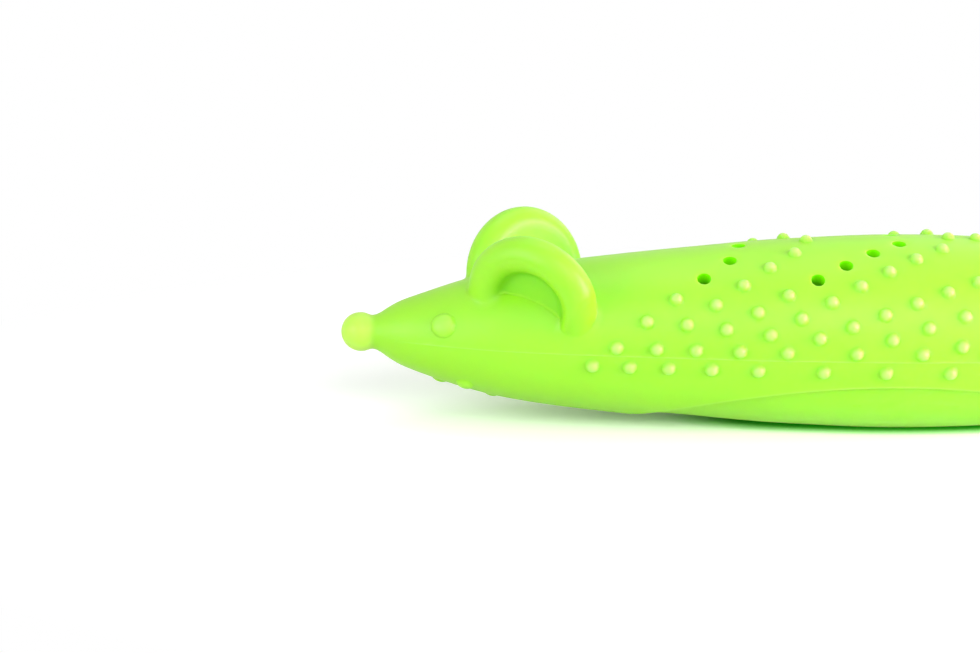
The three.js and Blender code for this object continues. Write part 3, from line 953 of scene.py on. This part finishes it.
def dried_leaf(name):
    """Crumbled dry leaf: brown-green flecks, quite matt."""
    colours = settings("mouse_colours")
    make = Finish(bpy.data.materials.new(name))
    fleck = make.noise(colours.fleck, 3)
    tint = make.mix(fleck.between(*LEAF_EDGE), colours.leaf, colours.stalk)
    bump = make.node("ShaderNodeBump", None, {"Strength": 0.6, "Distance": 0.3 * MM, "Height": fleck})
    values = {"Base Color": tint, "Roughness": 0.85, "Normal": bump}
    return make.surface(make.node("ShaderNodeBsdfPrincipled", None, values))


# Pieces


def skin_domes(studs):
    """Every bump, eye and nub: its place and direction, radius, height, fillet, and how pale it is painted
    for the light that comes through it.
    """
    body = settings("mouse_body")
    domes = [
        (*on_skin(x, angle, side), body.bump_radius, body.bump_height, body.fillet, 1)
        for x, angle, side, vent in studs
        if not vent
    ]
    for side in (-1, 1):
        place = on_skin(body.long * body.eye_place, body.eye_angle, side)
        domes.append((*place, body.eye_radius, body.eye_height, body.eye_fillet, EYE_PALENESS))
    for part, degrees in NUB_PLACES:
        for side in (1,) if degrees == -90 else (-1, 1):
            place = on_skin(body.long * part, degrees, side)
            domes.append((*place, body.nub_radius, body.nub_height, body.fillet, NUB_PALENESS))
    return domes


def mark_parting_line(skin):
    """Raises the thin line that the mould leaves along both flanks."""
    body = settings("mouse_body")
    take(skin)
    for above in (-SEAM_HALF_WIDTH, 0, SEAM_HALF_WIDTH):
        edit_all()
        bpy.ops.mesh.bisect(plane_co=(0, 0, body.seam_place + above), plane_no=(0, 0, 1))
    bpy.ops.object.mode_set(mode="OBJECT")
    for vertex in skin.data.vertices:
        if abs(vertex.co.z - body.seam_place) < TINY:
            vertex.co.y += math.copysign(body.seam_height, vertex.co.y)


def vent_holes(vents):
    """Round cutters through the wall at every vent."""
    body = settings("mouse_body")
    holes = []
    for place, out in vents:
        rest_selection()
        bpy.ops.mesh.primitive_cylinder_add(
            vertices=VENT_SIDES, radius=body.vent_radius, depth=body.wall * CUTTER_LENGTH
        )
        hole = bpy.context.object
        hole.matrix_world = Matrix.Translation(place) @ out.to_track_quat("Z", "Y").to_matrix().to_4x4()
        apply_place(hole)
        holes.append(hole)
    return join(holes, "holes")


def measure_painted_light_and_shade(skin, domes, stands):
    """Stores the painted light and shade: how pale each dome is painted, and how dark the painted shade is
    in the ring round it and in the hollow of an ear.
    """
    nearest = nearest_finder([place for place, *_ in domes])
    pale, deep = [], []
    for vertex in skin.data.vertices:
        i, _ = nearest(vertex.co)
        place, out, radius, _, _, paleness = domes[i]
        offset = vertex.co - place
        away = (offset - out * offset.dot(out)).length / radius
        on_top = abs(offset.dot(out)) < 2 * radius
        # Painted light on each dome, and painted shade in a ring round its foot and in an ear's hollow.
        pale.append(paleness * (1 - soft_step(*PALE_EDGE, away)) if on_top else 0)
        ring = soft_step(*RING_INSIDE, away) * (1 - soft_step(*RING_OUTSIDE, away)) if on_top else 0
        deep.append(max(RING_SHADE * paleness * ring, *(stand.hollow(vertex.co) for stand in stands)))
    add_measure(skin, "pale", pale)
    add_measure(skin, "deep", deep)


def measure_glow(skin, vents):
    """Stores how much light comes through the walls of the vents and of the chamber."""
    body = settings("mouse_body")
    nearest = nearest_finder([place for place, _ in vents])
    glow = [0] * len(skin.data.loops)
    for face in skin.data.polygons:
        i, away = nearest(face.center)
        place, out = vents[i]
        inside = trunk_radius(face.center.x) - body.wall + 0.05 * MM
        in_chamber = chamber_radius(face.center.x) > 0 and face.center.yz.length < inside
        in_vent = away <= VENT_NEAR * body.wall and abs(face.normal.dot(out)) <= ALONG_VENT
        for loop in face.loop_indices:
            if in_chamber:
                glow[loop] = CHAMBER_GLOW
            elif in_vent:
                offset = skin.data.vertices[skin.data.loops[loop].vertex_index].co - place
                under = -offset.dot(out)
                if (offset + out * under).length < body.vent_radius * VENT_WIDTH:
                    glow[loop] = min(max(1 - under / body.wall, LEAST_VENT_GLOW), 1)
    add_measure(skin, "glow", glow, "CORNER")


class MOUSE_OT_body(bpy.types.Operator):
    """Model the silicone body with its nose, eyes, ears, bumps, vents and belly opening"""

    bl_idname = "mouse.body"
    bl_label = "Silicone body"

    def execute(self, context):
        body, ear = settings("mouse_body"), settings("mouse_ear")
        studs = stud_places()
        vents = [on_skin(x, angle, side) for x, angle, side, vent in studs if vent]
        domes = skin_domes(studs)
        stands = [EarStand(-1), EarStand(1)]
        nearest_dome = nearest_finder([place for place, *_ in domes])
        nearest_vent = nearest_finder([place for place, _ in vents])

        def detailed(point):
            i, away = nearest_dome(point)
            return away < domes[i][2] + BUMP_MARGIN or nearest_vent(point)[1] < body.vent_radius * 1.3

        skin = lathe("silicone_body", skin_profile(), body.sides)
        subdivide_where(skin, detailed, 3)
        subdivide_where(skin, at_ear_foot(stands, ear.foot + EAR_MARGIN), 2)
        mark_parting_line(skin)
        raise_domes(skin, [dome[:5] for dome in domes])
        soften_vents(skin, [place for place, _ in vents])

        swell_at_ears(skin, stands)
        combine(skin, [make_ear(stand) for stand in stands], "UNION")
        relax_where(skin, at_ear_foot(stands, ear.foot * 0.6), 6)
        stations = spaced(body.long * body.chamber_start, body.chamber_end, CHAMBER_STEP)
        chamber = lathe("chamber", [(x, chamber_radius(x)) for x in stations], CHAMBER_SIDES)
        combine(skin, [chamber, vent_holes(vents), arch_prism(0)], "DIFFERENCE")

        measure_painted_light_and_shade(skin, domes, stands)
        measure_glow(skin, vents)
        for vertex in skin.data.vertices:
            vertex.co.z += body.snout_lift * soft_step(0, body.snout, body.snout - vertex.co.x)
        finish_piece(skin, silicone("silicone", settings("mouse_colours").lime, True))
        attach(skin, "shell")
        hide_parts("body_shell")
        return {"FINISHED"}


class MOUSE_OT_lid(bpy.types.Operator):
    """Model the belly lid, set in from the skin, with its collar"""

    bl_idname = "mouse.lid"
    bl_label = "Belly lid"

    def execute(self, context):
        body, lid = settings("mouse_body"), settings("mouse_lid")
        middle = body.long * body.arch_place
        arched = [x for x in spaced(0, body.long, SEARCH_STEP) if arch_height(x) > -trunk_radius(x)]
        stations = spaced(arched[0], arched[-1], LID_STEP)

        def whole(x):
            """Share of the step that the lid has, less at its tips."""
            inwards = soft_step(0, lid.taper, min(x - stations[0], stations[-1] - x))
            return lid.tip_step + (1 - lid.tip_step) * inwards

        def turned(name, inset):
            inside = [(x, max(trunk_radius(x) - inset * whole(x), 0)) for x in stations]
            return lathe(name, [(stations[0], 0), *inside, (stations[-1], 0)], LID_SIDES)

        def lens(inset, taller):
            """An upright prism with the outline of the belly opening."""
            edge = []
            for x in spaced(middle - OUTLINE_REACH, middle + OUTLINE_REACH, OUTLINE_STEP):
                radius = max(chamber_radius(x) - inset, 0)
                width = math.sqrt(max(radius**2 - arch_height(x) ** 2, 0))
                if width > LEAST_HALF_WIDTH:
                    edge.append((x, width))
            rest_selection()
            bpy.ops.mesh.primitive_grid_add(x_subdivisions=len(edge) - 1, y_subdivisions=1, size=2)
            obj = bpy.context.object
            xs = sorted({round(v.co.x, 5) for v in obj.data.vertices})
            for vertex in obj.data.vertices:
                x, width = edge[xs.index(round(vertex.co.x, 5))]
                vertex.co = (x, math.copysign(width, vertex.co.y), -body.radius)
            edit_all()
            bpy.ops.mesh.extrude_region_move(TRANSFORM_OT_translate={"value": (0, 0, taller)})
            bpy.ops.mesh.select_all(action="SELECT")
            bpy.ops.mesh.normals_make_consistent(inside=False)
            bpy.ops.object.mode_set(mode="OBJECT")
            return obj

        tray, collar = turned("belly_tray", lid.step), turned("collar", lid.step)
        hollow = turned("hollow", lid.step + lid.wall)
        combine(tray, [arch_prism(-lid.gap)], "INTERSECT")
        combine(collar, [arch_prism(lid.collar), lens(lid.gap, body.radius)], "INTERSECT")
        combine(hollow, [lens(lid.gap + lid.collar_wall, body.radius)], "INTERSECT")
        combine(tray, [collar], "UNION")
        combine(tray, [hollow], "DIFFERENCE")
        rest_selection()
        bpy.ops.mesh.primitive_cube_add(size=1)
        below = bpy.context.object
        below.scale = (body.long, 2 * body.radius, body.radius)
        below.location = (middle, 0, -body_place().z - body.radius / 2)
        apply_place(below)
        combine(tray, [below], "DIFFERENCE")
        tray.name = "lid_of_silicone"
        finish_piece(tray, silicone("lid_silicone", settings("mouse_colours").lid, False))
        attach(tray, "lid")
        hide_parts("belly_lid")
        return {"FINISHED"}


class MOUSE_OT_tail(bpy.types.Operator):
    """Model the tail, flared where it is moulded on the rump"""

    bl_idname = "mouse.tail"
    bl_label = "Tail"

    def execute(self, context):
        body, tail = settings("mouse_body"), settings("mouse_tail")
        root = body.long - TAIL_INSET
        tip = [tail.long - tail.tip * math.cos(math.radians(a)) for a in TIP_TURNS]
        profile = [(-tail.sunk, 0)]
        for along in spaced(-tail.sunk, tail.long * 0.96, TRUNK_STEP) + tip:
            radius = tail.radius + (tail.tip - tail.radius) * along / tail.long
            flare = (tail.root - tail.radius) * max(1 - along / tail.flare, 0) ** 2
            profile.append((along, (radius + flare) * end_round(tail.long - along, tail.tip)))
        stem = lathe("tail_stem", profile, TAIL_SIDES)
        for vertex in stem.data.vertices:
            part = vertex.co.x / tail.long
            vertex.co.y += tail.sway * part * math.sin(2 * math.pi * part)
            vertex.co.z += tail.lift * part**2
        stem.location = (root, 0, 0)
        apply_place(stem)
        finish_piece(stem, silicone("tail_silicone", settings("mouse_colours").lime, False))
        start = body_place() + Vector((root, 0, 0))
        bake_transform(stem)
        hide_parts("tail")
        return {"FINISHED"}


def make_flake(draw):
    """One crumpled flake of leaf."""
    rest_selection()
    bpy.ops.mesh.primitive_ico_sphere_add(subdivisions=1, radius=1, location=(0, 0, 0))
    flake = bpy.context.object
    long, wide = draw.uniform(*FLAKE_LONG) * MM, draw.uniform(*FLAKE_WIDE) * MM
    for vertex in flake.data.vertices:
        x, y, z = (value * draw.uniform(*FLAKE_DENTS) for value in vertex.co)
        curl = FLAKE_CURL * MM * (x * x - y * y * 0.5)
        vertex.co = (x * long, y * wide, z * FLAKE_THICK * MM + curl)
    return flake


def make_stalk():
    """One broken stalk."""
    rest_selection()
    bpy.ops.mesh.primitive_cylinder_add(vertices=6, radius=0.3 * MM, depth=3.4 * MM, location=(0, 0, 0))
    stalk = bpy.context.object
    stalk.rotation_euler = (0, math.pi / 2, 0)
    apply_place(stalk)
    for vertex in stalk.data.vertices:
        if vertex.co.x > 0:
            vertex.co.yz = vertex.co.yz * 0.6
    return stalk


class MOUSE_OT_catnip(bpy.types.Operator):
    """Model the mound of crumbled catnip that lies in the lid"""

    bl_idname = "mouse.catnip"
    bl_label = "Catnip"

    def execute(self, context):
        low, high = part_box("catnip_fill")
        middle, half = (low + high) / 2, (high - low) / 2
        rest_selection()
        bpy.ops.mesh.primitive_uv_sphere_add(segments=96, ring_count=48, radius=1, location=(0, 0, 0))
        mound = bpy.context.object
        mound.name = "catnip_mound"
        draw = random.Random(7)
        for vertex in mound.data.vertices:
            x, y, z = vertex.co
            reach = MOUND_FULL - MOUND_ROUGH * draw.random()
            side = y * half.y * MOUND_ACROSS * reach
            vertex.co = (middle.x + x * half.x * reach, side, middle.z + z * half.z * reach)
        smooth(mound, 60)
        kinds = [make_flake(draw) for _ in range(FLAKE_KINDS)] + [make_stalk()]
        crumbs = []
        for i in range(CRUMBS):
            crumb = kinds[i % len(kinds)].copy()
            crumb.data = crumb.data.copy()
            context.scene.collection.objects.link(crumb)
            turn, up = draw.uniform(0, 2 * math.pi), draw.uniform(0.05, 1)
            level = math.sqrt(1 - up * up)
            way = Vector((level * math.cos(turn), level * math.sin(turn), up))
            crumb.location = (
                middle.x + way.x * half.x * CRUMBS_OUT,
                way.y * half.y * CRUMBS_ACROSS,
                middle.z + way.z * half.z * CRUMBS_OUT,
            )
            outward = Vector((way.x / half.x, way.y / half.y, way.z / half.z))
            crumb.rotation_euler = outward.to_track_quat("Z", "X").to_euler()
            crumb.rotation_euler.rotate_axis("Z", draw.uniform(0, 2 * math.pi))
            crumb.rotation_euler.rotate_axis("X", draw.uniform(-0.5, 0.5))
            crumbs.append(crumb)
        for kind in kinds:
            bpy.data.objects.remove(kind)
        join([mound, *crumbs], "catnip_mound")
        mound.data.materials.append(dried_leaf("dried_leaf"))
        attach(mound, "lid")
        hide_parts("catnip_fill")
        return {"FINISHED"}


class MOUSE_OT_stage(bpy.types.Operator):
    """Set the pale floor, the soft lamps, the world and the camera"""

    bl_idname = "mouse.stage"
    bl_label = "Stage"

    def execute(self, context):
        stage = settings("mouse_stage")
        rest_selection()
        bpy.ops.mesh.primitive_grid_add(
            x_subdivisions=4, y_subdivisions=4, size=stage.floor, location=(0, 0, 0)
        )
        floor = bpy.context.object
        floor.name = "floor"
        make = Finish(bpy.data.materials.new("floor"))
        from_camera, glossy, transmitted = make.rays()
        mirrored = glossy.maths("MAXIMUM", transmitted)
        tint = make.mix(mirrored, [stage.floor_bounce] * 3, WHITE[:3])
        bounced = make.node("ShaderNodeBsdfDiffuse", None, {"Color": tint})
        values = {"Distance": stage.contact}
        openness = make.node("ShaderNodeAmbientOcclusion", {"samples": 16}, values, out=1)
        shade = make.node("ShaderNodeValToRGB", {"stops": CONTACT_TINTS}, [openness])
        values = {"Vector": shade, "Scale": stage.floor_white}
        shade = make.node("ShaderNodeVectorMath", {"operation": "SCALE"}, values)
        lit = make.node("ShaderNodeBsdfDiffuse", None, {"Color": shade})
        white = make.node("ShaderNodeEmission", None, {"Color": WHITE, "Strength": 1})
        x, y = make.along(0) * 0.6, make.along(1)
        far = ((x * x + y * y) ** 0.5).between(stage.shade_from, stage.shade_to)
        seen = make.node("ShaderNodeMixShader", None, [far, lit, white])
        shader = make.node("ShaderNodeMixShader", None, [from_camera, bounced, seen])
        from_below = make.node("ShaderNodeNewGeometry", out="Backfacing") * from_camera
        clear = make.node("ShaderNodeBsdfTransparent", None, {"Color": WHITE})
        shader = make.node("ShaderNodeMixShader", None, [from_below, shader, clear])
        floor.data.materials.append(make.surface(shader))

        for name, (toward, away, size) in LAMPS.items():
            lamp = bpy.data.lights.new(name, "AREA")
            lamp.shape, lamp.size, lamp.energy = "SQUARE", size, getattr(stage, name)
            holder = bpy.data.objects.new(name, lamp)
            context.scene.collection.objects.link(holder)
            outward = Vector(toward).normalized()
            holder.location = LIT_PLACE + away * outward
            holder.rotation_euler = outward.to_track_quat("Z", "Y").to_euler()

        make = Finish(bpy.data.worlds.new("Studio"))
        from_camera, glossy, transmitted = make.rays()
        seen = from_camera.maths("MAXIMUM", glossy).maths("MAXIMUM", transmitted)
        around = make.node("ShaderNodeBackground", None, {"Color": WHITE, "Strength": stage.world})
        seen_sky = make.node("ShaderNodeBackground", None, {"Color": WHITE, "Strength": 1})
        shader = make.node("ShaderNodeMixShader", None, [seen, around, seen_sky])
        context.scene.world = make.surface(shader, "ShaderNodeOutputWorld")
        context.scene.view_settings.view_transform = "Standard"

        tilt, yaw, roll = (math.radians(value) for value in (stage.elevation, stage.azimuth, stage.roll))
        turned = Matrix.Rotation(yaw, 4, "Z") @ Matrix.Rotation(math.pi / 2 - tilt, 4, "X")
        turned = turned @ Matrix.Rotation(roll, 4, "Z")
        target = body_place() + Vector((stage.look, 0, stage.look_up))
        camera = bpy.data.objects.new("camera", bpy.data.cameras.new("camera"))
        context.scene.collection.objects.link(camera)
        camera.data.lens = stage.lens
        camera.data.clip_start = 0.01
        camera.matrix_world = Matrix.Translation(target + stage.distance * turned.col[2].xyz) @ turned
        context.scene.camera = camera
        return {"FINISHED"}


class MOUSE_PT_panel(bpy.types.Panel):
    """Lists the pieces of the mouse and their sizes"""

    bl_idname = "MOUSE_PT_panel"
    bl_label = "Catnip Mouse"
    bl_space_type = "VIEW_3D"
    bl_region_type = "UI"
    bl_category = "Mouse"

    def draw(self, context):
        for operator in OPERATORS:
            self.layout.operator(operator.bl_idname)
        for name, group in SETTINGS.items():
            box = self.layout.box()
            box.label(text=group.__doc__)
            for key in group.__annotations__:
                box.prop(getattr(context.scene, name), key)


OPERATORS = [MOUSE_OT_body, MOUSE_OT_lid, MOUSE_OT_tail, MOUSE_OT_catnip, MOUSE_OT_stage]


def register():
    for kind in [*SETTINGS.values(), *OPERATORS, MOUSE_PT_panel]:
        bpy.utils.register_class(kind)
    for name, group in SETTINGS.items():
        setattr(bpy.types.Scene, name, PointerProperty(type=group))


def unregister():
    for name in SETTINGS:
        delattr(bpy.types.Scene, name)
    for kind in [MOUSE_PT_panel, *reversed(OPERATORS), *reversed(SETTINGS.values())]:
        bpy.utils.unregister_class(kind)


def main():
    register()
    for operator in OPERATORS:
        group, name = operator.bl_idname.split(".")
        getattr(getattr(bpy.ops, group), name)()


if __name__ == "__main__":
    main()
